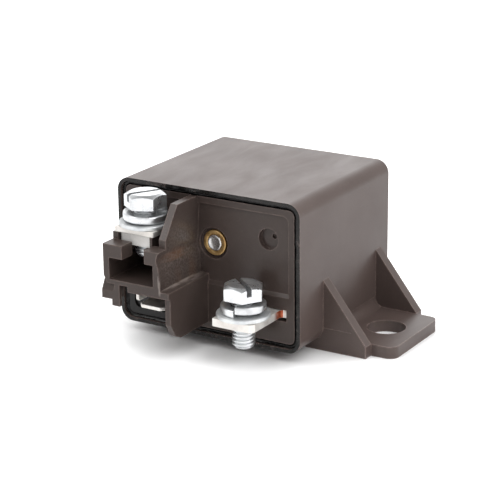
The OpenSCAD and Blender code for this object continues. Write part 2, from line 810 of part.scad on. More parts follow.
module coil_tab_main() {
  left = tab_x - tab_w / 2;
  right = tab_x + tab_w / 2;
  tab_back = strip_in + seat_gap;
  color("#dcdad6") part_frame() translate([0, 0, tab_under]) linear_extrude(tab_t) {
    polygon([
      [left, tab_back], [left, chamfer - tab_reach], [left + chamfer, -tab_reach],
      [right - chamfer, -tab_reach], [right, chamfer - tab_reach], [right, tab_back]
    ]);
    translate([tail_1_x - tail_1_w / 2, strip_in]) square([tail_1_w, tab_inner - strip_in]);
  }
}

module coil_tab_small() {
  low = small_tab_under;
  high = small_tab_under + small_tab_h;
  color("#dcdad6") part_frame()
    along_x(small_tab_x - small_tab_t / 2, small_tab_x + small_tab_t / 2) polygon([
      [small_tab_inner, low], [small_tab_inner, high], [chamfer / 2 - small_tab_reach, high],
      [-small_tab_reach, high - chamfer / 2], [-small_tab_reach, low + chamfer / 2],
      [chamfer / 2 - small_tab_reach, low]
    ]);
}

module terminal_nut() {
  low = terminal_1_top - strip_1_t - nut_h;
  half = nut_flats / 2;
  color("#c8c8c6") part_frame() translate([terminal_1_x, screw_y, low]) difference() {
    linear_extrude(nut_h) polygon([
      [-half + nut_chamfer, -half], [half - nut_chamfer, -half], [half, -half + nut_chamfer],
      [half, half - nut_chamfer], [half - nut_chamfer, half], [-half + nut_chamfer, half],
      [-half, half - nut_chamfer], [-half, -half + nut_chamfer]
    ]);
    translate([0, 0, -cut]) cylinder(d = strip_hole_d, h = nut_h + 2 * cut);
  }
}

// Hexagon head screw with a slot and a chamfered crown, standing on the top of a strip
module screw(x, top, head_turn, slot_turn) {
  tip_low = head_low - screw_len;
  corner_r = head_corner_d / 2;
  crown_r = head_flats / 2 * crown_share;
  color("#cfd0d2") part_frame() translate([x, screw_y, top]) difference() {
    union() {
      translate([0, 0, tip_low + tip_chamfer]) cylinder(d = thread_d, h = screw_len);
      translate([0, 0, tip_low]) cylinder(d1 = thread_d - 2 * tip_chamfer, d2 = thread_d, h = tip_chamfer);
      intersection() {
        translate([0, 0, head_low]) rotate(head_turn) linear_extrude(head_h) circle(corner_r, $fn = 6);
        translate([0, 0, head_low]) rotate_extrude() polygon([
          [0, 0], [corner_r, 0], [corner_r, head_h - (corner_r - crown_r) * tan(head_chamfer_angle)],
          [crown_r, head_h], [0, head_h]
        ]);
      }
    }
    rotate(slot_turn) block([-head_corner_d, -slot_w / 2, head_low + head_h - slot_depth],
                            [head_corner_d, slot_w / 2, head_low + head_h + cut]);
  }
}

module terminal_screw_1() {
  screw(terminal_1_x, terminal_1_top, head_turn_1, slot_turn_1);
}

module terminal_screw_2() {
  screw(terminal_2_x, terminal_2_top, head_turn_2, slot_turn_2);
}

// Spring washer: one turn of square wire that falls by its lift, open at the split
module spring_washer(x, top, split_at) {
  outer = spring_washer_d / 2;
  inner = outer - spring_washer_w;
  span = 360 - spring_split;
  points = [
    for (i = [0 : spring_steps])
      let (
        at = split_at + spring_split / 2 + span * i / spring_steps,
        low = spring_lift * (1 - i / spring_steps)
      )
      each [
        [outer * cos(at), outer * sin(at), low], [outer * cos(at), outer * sin(at), low + spring_washer_t],
        [inner * cos(at), inner * sin(at), low + spring_washer_t], [inner * cos(at), inner * sin(at), low]
      ]
  ];
  walls = [
    for (i = [0 : spring_steps - 1], j = [0 : 3])
      let (a = 4 * i + j, b = 4 * i + (j + 1) % 4)
      each [[a, b, b + 4], [a, b + 4, a + 4]]
  ];
  last = 4 * spring_steps;
  color("#c4c5c7") part_frame() translate([x, screw_y, top + spring_low])
    polyhedron(points, concat([[3, 2, 1, 0]], walls, [[last, last + 1, last + 2, last + 3]]), convexity = 4);
}

module spring_washer_1() {
  spring_washer(terminal_1_x, terminal_1_top, split_turn_1);
}

module spring_washer_2() {
  spring_washer(terminal_2_x, terminal_2_top, split_turn_2);
}

module flat_washer(x, top) {
  color("#d2d2cf") part_frame() translate([x, screw_y, top + run_gap]) difference() {
    cylinder(d = flat_washer_d, h = flat_washer_t);
    translate([0, 0, -cut]) cylinder(d = clearance_hole_d, h = flat_washer_t + 2 * cut);
  }
}

module flat_washer_1() {
  flat_washer(terminal_1_x, terminal_1_top);
}

module flat_washer_2() {
  flat_washer(terminal_2_x, terminal_2_top);
}

housing();
base_plate();
sealing_ring();
core_bush();
coil_core();
coil_bobbin();
coil_winding();
coil_lead_main();
coil_lead_small();
yoke();
armature();
armature_spring();
contact_carrier();
carrier_rivet();
contact_bridge();
moving_contacts();
bridge_spring();
fixed_contacts();
terminal_strip_1();
terminal_strip_2();
coil_tab_main();
coil_tab_small();
terminal_nut();
terminal_screw_1();
terminal_screw_2();
spring_washer_1();
spring_washer_2();
flat_washer_1();
flat_washer_2();
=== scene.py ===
import math

import bmesh
import bpy
from mathutils import Matrix, Vector, noise


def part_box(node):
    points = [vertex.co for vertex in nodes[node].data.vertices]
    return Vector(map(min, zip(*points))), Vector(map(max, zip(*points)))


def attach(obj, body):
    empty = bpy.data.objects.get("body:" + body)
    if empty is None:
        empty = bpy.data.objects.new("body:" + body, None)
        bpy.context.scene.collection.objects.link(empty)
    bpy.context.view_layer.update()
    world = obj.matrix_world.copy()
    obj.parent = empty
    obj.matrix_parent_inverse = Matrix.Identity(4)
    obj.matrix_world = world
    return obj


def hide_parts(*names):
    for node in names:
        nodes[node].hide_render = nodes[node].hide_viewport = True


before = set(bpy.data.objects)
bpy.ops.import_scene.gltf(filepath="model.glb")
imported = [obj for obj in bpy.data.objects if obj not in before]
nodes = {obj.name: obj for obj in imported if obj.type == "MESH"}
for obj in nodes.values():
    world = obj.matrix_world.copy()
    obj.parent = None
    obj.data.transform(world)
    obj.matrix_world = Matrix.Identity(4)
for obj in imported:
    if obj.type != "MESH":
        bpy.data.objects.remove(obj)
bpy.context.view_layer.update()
scene = bpy.context.scene

PER_METRE = 1000.0  # millimetres in a metre

# Places are written in millimetres from the left wall, the front rim and the underside of the foot
HOLE_X, HOLE_Y = 54.5, 23.35
CORNER = Vector((-HOLE_X, -HOLE_Y, 0.0))


def place(x, y, z):
    return (Vector((x, y, z)) + CORNER) / PER_METRE


def behind_rim(y):
    """A place along Y in metres of the frame, as millimetres behind the front rim."""
    return y * PER_METRE + HOLE_Y


def middle(node):
    low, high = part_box(node)
    return (Vector(low) + Vector(high)) / 2


# Camera at the photograph's angle, as fitted to the straight edges of the case and foot
LENS, SENSOR, NEAREST = 132.05, 36.0, 0.01
CAMERA_AT = (0.17224, -0.33712, 0.14535)
azimuth, elevation, roll = math.radians(31.58), math.radians(18.26), math.radians(-0.6095)
back = Vector((math.sin(azimuth) * math.cos(elevation), -math.cos(azimuth) * math.cos(elevation), math.sin(elevation)))
level = Vector((math.cos(azimuth), math.sin(azimuth), 0.0))
upright = back.cross(level)
right = level * math.cos(roll) + upright * math.sin(roll)
up = upright * math.cos(roll) - level * math.sin(roll)
turn = Matrix((right, up, back)).transposed().to_4x4()
camera_data = bpy.data.cameras.new("camera")
camera_data.lens = LENS
camera_data.sensor_width = SENSOR
camera_data.clip_start = NEAREST
camera = bpy.data.objects.new("camera", camera_data)
camera.matrix_world = Matrix.Translation(CAMERA_AT) @ turn
scene.collection.objects.link(camera)
scene.camera = camera
scene.view_settings.view_transform = "Standard"


# Node helpers
class Paint:
    """Builds one material's nodes."""

    def __init__(self, name):
        self.material = bpy.data.materials.new(name)
        self.material.use_nodes = True
        self.tree = self.material.node_tree
        self.tree.nodes.clear()
        self.out = self.node("ShaderNodeOutputMaterial")
        self.shader = self.node("ShaderNodeBsdfPrincipled")
        self.link(self.shader.outputs[0], self.out.inputs[0])
        self.where = self.node("ShaderNodeTexCoord").outputs["Object"]

    def node(self, kind):
        return self.tree.nodes.new(kind)

    def link(self, a, b):
        self.tree.links.new(a, b)

    def feed(self, socket, value):
        if isinstance(value, bpy.types.NodeSocket):
            self.link(value, socket)
        elif isinstance(value, tuple) and len(value) == 3 and socket.type == "RGBA":
            socket.default_value = (*value, 1.0)
        else:
            socket.default_value = value

    def noise(self, scale, detail=3.0, rough=0.5, stretch=None, distortion=0.0):
        n = self.node("ShaderNodeTexNoise")
        n.inputs["Scale"].default_value = scale
        n.inputs["Detail"].default_value = detail
        n.inputs["Roughness"].default_value = rough
        n.inputs["Distortion"].default_value = distortion
        source = self.where
        if stretch:
            m = self.node("ShaderNodeMapping")
            m.inputs["Scale"].default_value = stretch
            self.link(self.where, m.inputs["Vector"])
            source = m.outputs[0]
        self.link(source, n.inputs["Vector"])
        return n.outputs["Fac"]

    def cells(self, scale):
        n = self.node("ShaderNodeTexVoronoi")
        n.inputs["Scale"].default_value = scale
        self.link(self.where, n.inputs["Vector"])
        return n.outputs["Distance"]

    def span(self, value, low, high, to_low=0.0, to_high=1.0):
        n = self.node("ShaderNodeMapRange")
        self.feed(n.inputs["Value"], value)
        n.inputs["From Min"].default_value = low
        n.inputs["From Max"].default_value = high
        n.inputs["To Min"].default_value = to_low
        n.inputs["To Max"].default_value = to_high
        return n.outputs["Result"]

    def math(self, kind, a, b=0.0):
        n = self.node("ShaderNodeMath")
        n.operation = kind
        self.feed(n.inputs[0], a)
        self.feed(n.inputs[1], b)
        return n.outputs[0]

    def times(self, a, b):
        return self.math("MULTIPLY", a, b)

    def mix(self, share, a, b):
        n = self.node("ShaderNodeMix")
        n.data_type = "RGBA"
        self.feed(n.inputs[0], share)
        self.feed(n.inputs[6], a)
        self.feed(n.inputs[7], b)
        return n.outputs[2]

    def axis(self, which, of=None):
        n = self.node("ShaderNodeSeparateXYZ")
        self.link(of or self.where, n.inputs[0])
        return n.outputs["XYZ".index(which)]

    def facing(self):
        g = self.node("ShaderNodeNewGeometry")
        return g.outputs["Normal"]

    def spot(self, centre, reach, soft=0.4):
        """1 inside an ellipsoid round a place, fading to 0 at its skin."""
        m = self.node("ShaderNodeMapping")
        m.vector_type = "TEXTURE"
        m.inputs["Location"].default_value = centre
        m.inputs["Scale"].default_value = tuple(r / PER_METRE for r in reach)
        self.link(self.where, m.inputs["Vector"])
        n = self.node("ShaderNodeVectorMath")
        n.operation = "LENGTH"
        self.link(m.outputs[0], n.inputs[0])
        return self.span(n.outputs["Value"], 1.0, 1.0 - soft)

    def edge_highlight_and_wear(self):
        """1 along the edges, where the rounded normal leaves the flat one."""
        flat, rounded, radius, samples = 0.995, 0.88, 0.0005, 4
        b = self.node("ShaderNodeBevel")
        b.samples = samples
        b.inputs["Radius"].default_value = radius
        n = self.node("ShaderNodeVectorMath")
        n.operation = "DOT_PRODUCT"
        self.link(b.outputs[0], n.inputs[0])
        self.link(self.facing(), n.inputs[1])
        return self.span(n.outputs["Value"], flat, rounded)

    def bump(self, height, strength, distance):
        n = self.node("ShaderNodeBump")
        n.inputs["Strength"].default_value = strength
        n.inputs["Distance"].default_value = distance
        self.link(height, n.inputs["Height"])
        return n.outputs[0]

    def done(self, colour, roughness, normal, **fixed):
        self.feed(self.shader.inputs["Base Color"], colour)
        self.feed(self.shader.inputs["Roughness"], roughness)
        self.link(normal, self.shader.inputs["Normal"])
        for key, value in fixed.items():
            self.shader.inputs[key.replace("_", " ")].default_value = value
        return self.material


def tone(*rgb):
    """A screen colour from 0 to 255 as a linear colour."""
    return tuple((c / 255 / 12.92) if c <= 10 else ((c / 255 + 0.055) / 1.055) ** 2.4 for c in rgb)


def moulded(name, dark, light, rough=(0.3, 0.42), marks=(), dark_rim_front=False, shade_and_compound_pools=()):
    """Moulded plastic: faint flow clouds, fine grain, dust, and every edge painted paler, as a painted highlight and
    as rubbing.
    """
    grain = 0.000010  # height of the fine grain, in metres
    patch_smoothing = 0.12  # how much smoother the near-black patches are
    p = Paint(name)
    clouds = p.noise(55, 4, 0.55)
    fine = p.noise(2600, 4, 0.6)
    flow = p.noise(160, 5, 0.6, stretch=(1.0, 0.35, 0.5), distortion=0.6)
    colour = p.mix(p.span(clouds, 0.3, 0.7), dark, light)
    colour = p.mix(p.span(fine, 0.55, 0.8, 0.0, 0.25), colour, tuple(min(1, c * 1.7) for c in light))
    specks, patches = p.noise(900, 6, 0.75), p.noise(120, 2, 0.5)
    dust = p.times(p.span(specks, 0.62, 0.72, 0.0, 0.22), p.span(patches, 0.4, 0.7))
    colour = p.mix(dust, colour, tone(150, 140, 136))
    # every edge is painted paler: a painted edge highlight, together with rubbing
    edge = p.times(p.edge_highlight_and_wear(), p.span(p.noise(700, 3, 0.6), 0.3, 0.7, 0.15, 0.75))
    colour = p.mix(edge, colour, tuple(min(1, c * 3.4) for c in light))
    for centre, reach, (scale, detail, stretch), ink, most in marks:
        streaks = p.span(p.noise(scale, detail, stretch=stretch), 0.42, 0.6, 0.0, most)
        colour = p.mix(p.times(p.spot(place(*centre), reach), streaks), colour, ink)
    roughness = p.math("ADD", p.span(flow, 0.3, 0.7, rough[0], rough[1]), p.times(dust, 0.5))
    if dark_rim_front:
        # near-black, smoother patch over the front-facing faces of the rim, broken up by noise
        rim_depth, forward = 0.2, -0.45
        rim = p.math("LESS_THAN", p.axis("Y"), place(0, rim_depth, 0).y)
        front = p.math("LESS_THAN", p.axis("Y", p.facing()), forward)
        dark_patch = p.times(p.times(rim, front), p.span(p.noise(420, 5, 0.6), 0.3, 0.42, 0.35, 1.0))
        black = p.mix(p.span(p.noise(700, 4, 0.6), 0.4, 0.7), tone(12, 11, 10), tone(34, 31, 29))
        colour = p.mix(dark_patch, colour, black)
        roughness = p.math("SUBTRACT", roughness, p.times(dark_patch, patch_smoothing))
    # near-black pools painted on the plate: painted shade inside the socket, and black compound
    for centre, reach in shade_and_compound_pools:
        dark_patch = p.times(p.spot(place(*centre), reach, 0.12), p.span(p.noise(900, 4, 0.6), 0.28, 0.36, 0.75, 1.0))
        colour = p.mix(dark_patch, colour, tone(16, 14, 13))
        roughness = p.math("SUBTRACT", roughness, p.times(dark_patch, patch_smoothing))
    height = p.math("ADD", p.noise(3400, 3, 0.65), p.times(p.noise(420, 2, 0.5), 0.8))
    return p.done(colour, roughness, p.bump(height, 0.6, grain), IOR=1.36)


SCRATCH = 0.000006  # height of the fine scratches in metal, in metres


def plated(name, dark, light, rough, spots=0.3, brushed=(1.0, 6.0, 1.0), metal=1.0, dents=0.0):
    """Bright metal plating with a crystalline mottle, faint stains and fine scratches."""
    p = Paint(name)
    mottle = p.noise(420, 6, 0.65)
    crystals = p.cells(1500)
    colour = p.mix(p.span(mottle, 0.3, 0.7), dark, light)
    stain = p.times(p.span(p.noise(260, 4, 0.6), 0.55, 0.75), spots)
    colour = p.mix(stain, colour, tuple(c * 0.55 for c in dark))
    roughness = p.math("ADD", p.span(mottle, 0.25, 0.75, rough[0], rough[1]), p.times(stain, 0.4))
    scratches = p.noise(900, 4, 0.7, stretch=brushed)
    bumps = p.math("ADD", p.times(crystals, 0.6), scratches)
    if dents:
        bumps = p.math("ADD", bumps, p.times(p.noise(650, 3, 0.5), dents))
    return p.done(colour, roughness, p.bump(bumps, 0.5, SCRATCH), Metallic=metal)


# Materials. Pieces of one slot can have different finishes, such as screw, washer and nut.
case_plastic = moulded("case_plastic", tone(80, 68, 64), tone(90, 78, 74), dark_rim_front=True)
# A mark has its middle, its reach, its streaks (scale, detail, stretch), its colour and its most cover.
# They are paler streaks along the wall's step and front edge, brown smears, and specks on the wall between the
# terminals.
# A pool has its middle and its reach. It paints the plate near-black behind the blades: painted shade inside the
# socket, and black compound there.
plate_plastic = moulded(
    "plate_plastic", tone(60, 50, 46), tone(71, 61, 57), rough=(0.28, 0.4),
    marks=(
        ((20.4, -6.0, 16.5), (2.6, 9.0, 0.22), (900, 4, (1.0, 0.3, 1.0)), tone(150, 138, 132), 0.8),
        ((20.3, -14.5, 20.0), (0.5, 0.5, 6.5), (900, 4, (1.0, 1.0, 0.4)), tone(150, 140, 134), 0.55),
        ((20.2, -6.0, 23.2), (1.4, 9.0, 1.7), (420, 5, (1.0, 0.12, 1.0)), tone(124, 88, 66), 0.75),
        ((20.3, -4.5, 17.8), (1.0, 5.0, 4.2), (300, 5, (1.0, 1.0, 0.35)), tone(96, 70, 54), 0.45),
        ((20.3, -6.0, 20.0), (2.8, 9.5, 12.0), (2400, 6, (1.0, 1.0, 1.0)), tone(126, 116, 110), 0.3),
    ),
    shade_and_compound_pools=(((8.0, 0.9, 7.5), (12.2, 1.6, 9.0)),),
)


def sealing_compound():
    p = Paint("sealant")
    colour = p.mix(p.span(p.noise(300, 4, 0.6), 0.35, 0.7), tone(9, 8, 8), tone(24, 22, 21))
    roughness = p.span(p.noise(500, 4, 0.6), 0.3, 0.7, 0.12, 0.34)
    return p.done(colour, roughness, p.bump(p.noise(380, 3, 0.5), 0.5, 0.00006), IOR=1.3)


def turned_brass():
    p = Paint("bush_brass")
    rings = p.node("ShaderNodeTexWave")
    rings.wave_type = "RINGS"
    rings.rings_direction = "Y"
    rings.inputs["Scale"].default_value = 900
    rings.inputs["Distortion"].default_value = 1.2
    rings.inputs["Detail"].default_value = 2
    m = p.node("ShaderNodeMapping")
    m.inputs["Location"].default_value = tuple(-c for c in middle("core_bush"))
    p.link(p.where, m.inputs["Vector"])
    p.link(m.outputs[0], rings.inputs["Vector"])
    mottle = p.noise(700, 5, 0.6)
    colour = p.mix(p.span(mottle, 0.35, 0.7), tone(178, 140, 88), tone(226, 190, 130))
    colour = p.mix(p.span(p.noise(240, 3, 0.6), 0.5, 0.75, 0.0, 0.5), colour, tone(110, 82, 52))
    roughness = p.span(mottle, 0.3, 0.7, 0.26, 0.42)
    return p.done(colour, roughness, p.bump(rings.outputs["Fac"], 0.35, 0.00001), Metallic=0.85)


def tinned():
    """Tinned copper: warm bright tin with bare copper where the strip was sheared."""
    p = Paint("tinned_copper")
    mottle = p.noise(360, 6, 0.6)
    colour = p.mix(p.span(mottle, 0.3, 0.7), tone(214, 209, 203), tone(240, 237, 232))
    x_side, y_side = p.axis("X"), p.axis("Y")
    low, high = place(40.5, -1.7, 0), place(41.25, -0.5, 0)
    level_face = 0.5
    inside = p.times(p.math("GREATER_THAN", x_side, low[0]), p.math("LESS_THAN", x_side, high[0]))
    inside = p.times(inside, p.span(y_side, low[1], high[1]))
    upward = p.math("ABSOLUTE", p.axis("Z", p.facing()))
    inside = p.times(inside, p.math("LESS_THAN", upward, level_face))
    bare = p.times(inside, p.span(p.noise(700, 3, 0.6), 0.3, 0.5, 0.6, 1.0))
    copper = p.mix(p.span(p.noise(900, 3, 0.6), 0.35, 0.65), tone(138, 60, 32), tone(192, 98, 60))
    colour = p.mix(bare, colour, copper)
    stain = p.span(p.noise(300, 4, 0.65), 0.56, 0.74, 0.0, 0.3)
    colour = p.mix(stain, colour, tone(150, 138, 128))
    roughness = p.math("ADD", p.span(mottle, 0.25, 0.75, 0.3, 0.45), p.times(stain, 0.3))
    scratches = p.noise(1000, 4, 0.7, stretch=(6.0, 1.0, 1.0))
    return p.done(colour, roughness, p.bump(scratches, 0.5, SCRATCH), Metallic=0.55)


sealant = sealing_compound()
bush_brass = turned_brass()
tinned_copper = tinned()
zinc_steel = plated("zinc_plated_steel", tone(196, 198, 200), tone(230, 232, 233), rough=(0.22, 0.38),
                    metal=0.9, dents=3.5)
zinc_washer = plated("zinc_washer", tone(200, 203, 206), tone(232, 234, 233), rough=(0.34, 0.5),
                     brushed=(3.0, 3.0, 1.0), metal=0.7)
magnet_steel = plated("magnet_steel", tone(128, 128, 130), tone(168, 168, 170), rough=(0.3, 0.5), spots=0.4)
core_steel = plated("core_steel", tone(176, 174, 172), tone(222, 221, 220), rough=(0.18, 0.32), metal=0.85)
spring_steel = plated("spring_steel", tone(150, 151, 154), tone(196, 197, 200), rough=(0.2, 0.36))
nut_zinc = plated("nut_zinc", tone(232, 229, 225), tone(246, 244, 240), rough=(0.4, 0.55), metal=0.2)
bare_copper = plated("bare_copper", tone(176, 96, 62), tone(222, 134, 94), rough=(0.24, 0.44), spots=0.5)
contact_silver = plated("contact_silver", tone(196, 194, 188), tone(230, 228, 224), rough=(0.3, 0.5), spots=0.35)
bobbin_plastic = moulded("bobbin_plastic", tone(196, 186, 160), tone(214, 204, 180), rough=(0.4, 0.55))
carrier_plastic = moulded("carrier_plastic", tone(176, 160, 120), tone(196, 180, 140), rough=(0.4, 0.55))


def wound_wire():
    p = Paint("enamelled_wire")
    turns = p.node("ShaderNodeTexWave")
    turns.bands_direction = "Y"
    turns.inputs["Scale"].default_value = 1150
    turns.inputs["Distortion"].default_value = 0.3
    p.link(p.where, turns.inputs["Vector"])
    colour = p.mix(p.span(p.noise(300, 3, 0.6), 0.3, 0.7), tone(120, 50, 22), tone(176, 86, 40))
    roughness = p.span(p.noise(500, 3, 0.6), 0.3, 0.7, 0.22, 0.36)
    return p.done(colour, roughness, p.bump(turns.outputs["Fac"], 0.8, 0.00012), Metallic=0.6, IOR=1.5)


enamelled_wire = wound_wire()


# Mesh helpers
def finish_mesh(name, verts, faces, material, body, stands_for, sharp=32, weighted=True):
    """Adds a piece. Edges of more than sharp degrees stay hard; weighted evens out the normals of flat faces."""
    mesh = bpy.data.meshes.new(name)
    mesh.from_pydata([tuple(v) for v in verts], [], faces)
    mesh.validate()
    mesh.polygons.foreach_set("use_smooth", [True] * len(mesh.polygons))
    mesh.set_sharp_from_angle(angle=math.radians(sharp))
    mesh.materials.append(material)
    piece = bpy.data.objects.new(name, mesh)
    scene.collection.objects.link(piece)
    if weighted:
        even = piece.modifiers.new("even", "WEIGHTED_NORMAL")
        even.keep_sharp = True
    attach(piece, body)
    if stands_for:
        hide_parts(*stands_for)


def rounded_copy(name, node, width, material, body, segments=3, keep=None, shape=None):
    """Adds the solid's own mesh with its edges rounded. Before that, keep picks faces and shape changes the mesh."""
    same_place, same_plane, edge_from, sharp = 2e-6, 0.5, 28, 40
    bm = bmesh.new()
    bm.from_mesh(nodes[node].data)
    bmesh.ops.remove_doubles(bm, verts=bm.verts, dist=same_place)
    if keep:
        gone = [f for f in bm.faces if not keep(f)]
        bmesh.ops.delete(bm, geom=gone, context="FACES")
    bmesh.ops.dissolve_limit(bm, angle_limit=math.radians(same_plane), verts=bm.verts, edges=bm.edges)
    if shape:
        shape(bm)
    edges = [e for e in bm.edges if len(e.link_faces) == 2 and e.calc_face_angle(0) > math.radians(edge_from)]
    bmesh.ops.bevel(bm, geom=edges, offset=width / PER_METRE, offset_type="OFFSET", segments=segments, profile=0.5,
                    affect="EDGES", clamp_overlap=True, loop_slide=True)
    bmesh.ops.recalc_face_normals(bm, faces=bm.faces)
    bm.verts.index_update()
    verts = [v.co.copy() for v in bm.verts]
    faces = [[v.index for v in f.verts] for f in bm.faces]
    bm.free()
    finish_mesh(name, verts, faces, material, body, (node,), sharp)


def lathe(profile, steps, to_world, closed=False):
    """Turns a profile of (radius, height) round an axis. to_world places (x, y, height)."""
    verts, faces = [], []
    count = len(profile)
    for i in range(steps):
        a = 2 * math.pi * i / steps
        for r, h in profile:
            verts.append(to_world(r * math.cos(a), r * math.sin(a), h))
    for i in range(steps):
        j = (i + 1) % steps
        for k in range(count if closed else count - 1):
            m = (k + 1) % count
            faces.append([i * count + k, j * count + k, j * count + m, i * count + m])
    if not closed:
        faces.append([i * count for i in range(steps)][::-1])
        faces.append([i * count + count - 1 for i in range(steps)])
    return verts, faces


def corner_arc(cx, cy, r, start, end, steps=4):
    return [(cx + r * math.cos(math.radians(start + (end - start) * i / steps)),
             cy + r * math.sin(math.radians(start + (end - start) * i / steps))) for i in range(steps + 1)]


def hollow(bm):
    """Shallow hollow along the right face of the connector block, and a lower front edge of the latch nose."""
    depths = {24.5: 0.45, 23.7: 0.68, 22.8: 0.74, 21.9: 0.5, 21.1: 0.24, 20.2: 0.06}  # by height, in millimetres
    on_plane, on_face, on_height = 1e-7, 2e-5, 1e-5
    for z in depths:
        bmesh.ops.bisect_plane(bm, geom=bm.verts[:] + bm.edges[:] + bm.faces[:], dist=on_plane,
                               plane_co=place(0, 0, z), plane_no=(0, 0, 1))
    nose, nose_drop = place(9.2, -14.4, 15.6), 1.1
    block_right, block_back = place(20.4, 0, 0).x, place(0, 1.3, 0).y
    for v in bm.verts:
        if v.co.x < nose.x and v.co.y < nose.y and abs(v.co.z - nose.z) < on_face:
            v.co.z -= nose_drop / PER_METRE
        for z, depth in depths.items():
            at_height = abs(v.co.z - z / PER_METRE) < on_height
            if at_height and abs(v.co.x - block_right) < on_face and v.co.y < block_back:
                v.co.x -= depth / PER_METRE


# Moulded pieces. Each piece has the width of its rounded edges in millimetres.
CASE_EDGE, PLATE_EDGE, STRIP_EDGE, BLADE_EDGE, NUT_EDGE, HEAD_EDGE = 0.3, 0.15, 0.15, 0.12, 0.18, 0.12
rounded_copy("case_shell", "housing", CASE_EDGE, case_plastic, "case")
rounded_copy("front_plate", "base_plate", PLATE_EDGE, plate_plastic, "case", segments=2, shape=hollow)

# Strips, tabs and nut
rounded_copy("upper_terminal_strip", "terminal_strip_1", STRIP_EDGE, tinned_copper, "case")
rounded_copy("lower_terminal_strip", "terminal_strip_2", STRIP_EDGE, tinned_copper, "case")
rounded_copy("main_coil_blade", "coil_tab_main", BLADE_EDGE, tinned_copper, "case")
rounded_copy("small_coil_blade", "coil_tab_small", BLADE_EDGE, tinned_copper, "case")
rounded_copy("square_nut", "terminal_nut", NUT_EDGE, nut_zinc, "case")


def rounded_outline(left, right, low, high, radius, step):
    """Evenly spaced points along a rectangle with round corners, anticlockwise from its lower right corner."""
    parts = []
    corners = [(right - radius, low + radius, -90), (right - radius, high - radius, 0),
               (left + radius, high - radius, 90), (left + radius, low + radius, 180)]
    for cx, cz, start in corners:
        parts += corner_arc(cx, cz, radius, start, start + 90, 10)
    parts.append(parts[0])
    lengths = [0.0]
    for a, b in zip(parts, parts[1:]):
        lengths.append(lengths[-1] + math.dist(a, b))
    count = int(lengths[-1] / step)
    out, k = [], 0
    for i in range(count):
        want = lengths[-1] * i / count
        while lengths[k + 1] < want:
            k += 1
        share = (want - lengths[k]) / max(lengths[k + 1] - lengths[k], 1e-9)
        out.append((parts[k][0] + (parts[k + 1][0] - parts[k][0]) * share,
                    parts[k][1] + (parts[k + 1][1] - parts[k][1]) * share))
    return out


def sealing_band():
    """Potting compound that climbs both walls of its groove and sags between them. Its outlines are in millimetres."""
    shares = [0.0, 0.08, 0.2, 0.38, 0.55, 0.72, 0.86, 0.95, 1.0]
    climbs = [0.0, 0.16, 0.33, 0.46, 0.5, 0.44, 0.3, 0.13, 0.0]
    step = 0.4
    outer = rounded_outline(0.8, 45.2, 3.0, 34.6, 2.2, step)
    inner = rounded_outline(1.7, 44.3, 3.9, 33.7, 1.4, step)
    count = len(outer)
    verts, faces = [], []
    front, lowest, behind, skin, sag = 0.62, 1.4, 3.75, 0.06, 0.75
    broad, finer, ripple = 0.12, 0.07, 0.04  # how far the surface wanders, at three sizes
    broad_scale, finer_scale, ripple_scale, slice_at = 0.35, 3.1, 0.9, 3.0
    for i in range(count):
        # the inner outline at the same share of its length
        j = i * len(inner) / count
        a, b = inner[int(j) % len(inner)], inner[(int(j) + 1) % len(inner)]
        t = j - int(j)
        ix, iz = a[0] + (b[0] - a[0]) * t, a[1] + (b[1] - a[1]) * t
        ox, oz = outer[i]
        spot = Vector((ox * broad_scale, oz * broad_scale, slice_at))
        fill = broad * noise.noise(spot) + finer * noise.noise(spot * finer_scale)
        for share, climb in zip(shares, climbs):
            wob = ripple * noise.noise(Vector((ox * ripple_scale, oz * ripple_scale, share * slice_at)))
            between_walls = 0.0 < share < 1.0
            y = front + skin + climb * (sag + fill * 2) + max(0.0, fill) + wob * between_walls
            verts.append(place(ox + (ix - ox) * share, max(front, min(y, lowest)), oz + (iz - oz) * share))
        verts.append(place(ix, behind, iz))
        verts.append(place(ox, behind, oz))
    row = len(shares) + 2
    for i in range(count):
        j = (i + 1) % count
        for k in range(row):
            m = (k + 1) % row
            faces.append([i * row + k, i * row + m, j * row + m, j * row + k])
    finish_mesh("sealing_band", verts, faces, sealant, "case", ("sealing_ring",), sharp=60, weighted=False)


sealing_band()


# Brass bush and the riveted core in it
def along_y(centre):
    return lambda x, z, h: place(centre[0] + x, h, centre[1] + z)


coil_axis = (24.0, 23.4)
bush_bore, bush_rim = 1.83, 2.89  # radii, in millimetres
front, rear = (behind_rim(end[1]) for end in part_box("core_bush"))
profile = [(bush_bore, rear), (bush_bore, front + 0.28)]
profile += corner_arc(2.02, front + 0.22, 0.19, 180, 270)[1:]
profile += corner_arc(2.6, front + 0.26, 0.26, -90, -10)
profile += [(bush_rim, front + 0.5), (bush_rim, rear)]
verts, faces = lathe(profile, steps=72, to_world=along_y(coil_axis), closed=True)
finish_mesh("brass_bush", verts, [f[::-1] for f in faces], bush_brass, "case", ("core_bush",), sharp=50)

# The core as radius and depth: dished rivet end, two steps, shank and pole head
front, rear = (behind_rim(end[1]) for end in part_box("coil_core"))
profile = [(0.1, front + 0.3), (0.5, front + 0.29), (0.9, front + 0.25), (1.15, front + 0.17), (1.3, front + 0.06),
           (1.4, front + 0.01), (1.5, front), (1.62, front + 0.04), (1.72, front + 0.13), (1.77, front + 0.26)]
profile += [(1.77, 4.2), (2.38, 4.25), (2.38, 6.2), (2.96, 6.3), (2.96, rear - 1.5)]
profile += [(4.5, rear - 1.45), (4.58, rear - 1.3), (4.58, rear - 0.15), (4.45, rear - 0.02)]
verts, faces = lathe(profile, steps=64, to_world=along_y(coil_axis))
finish_mesh("riveted_core", verts, [f[::-1] for f in faces], core_steel, "case", ("coil_core",),
            sharp=50)


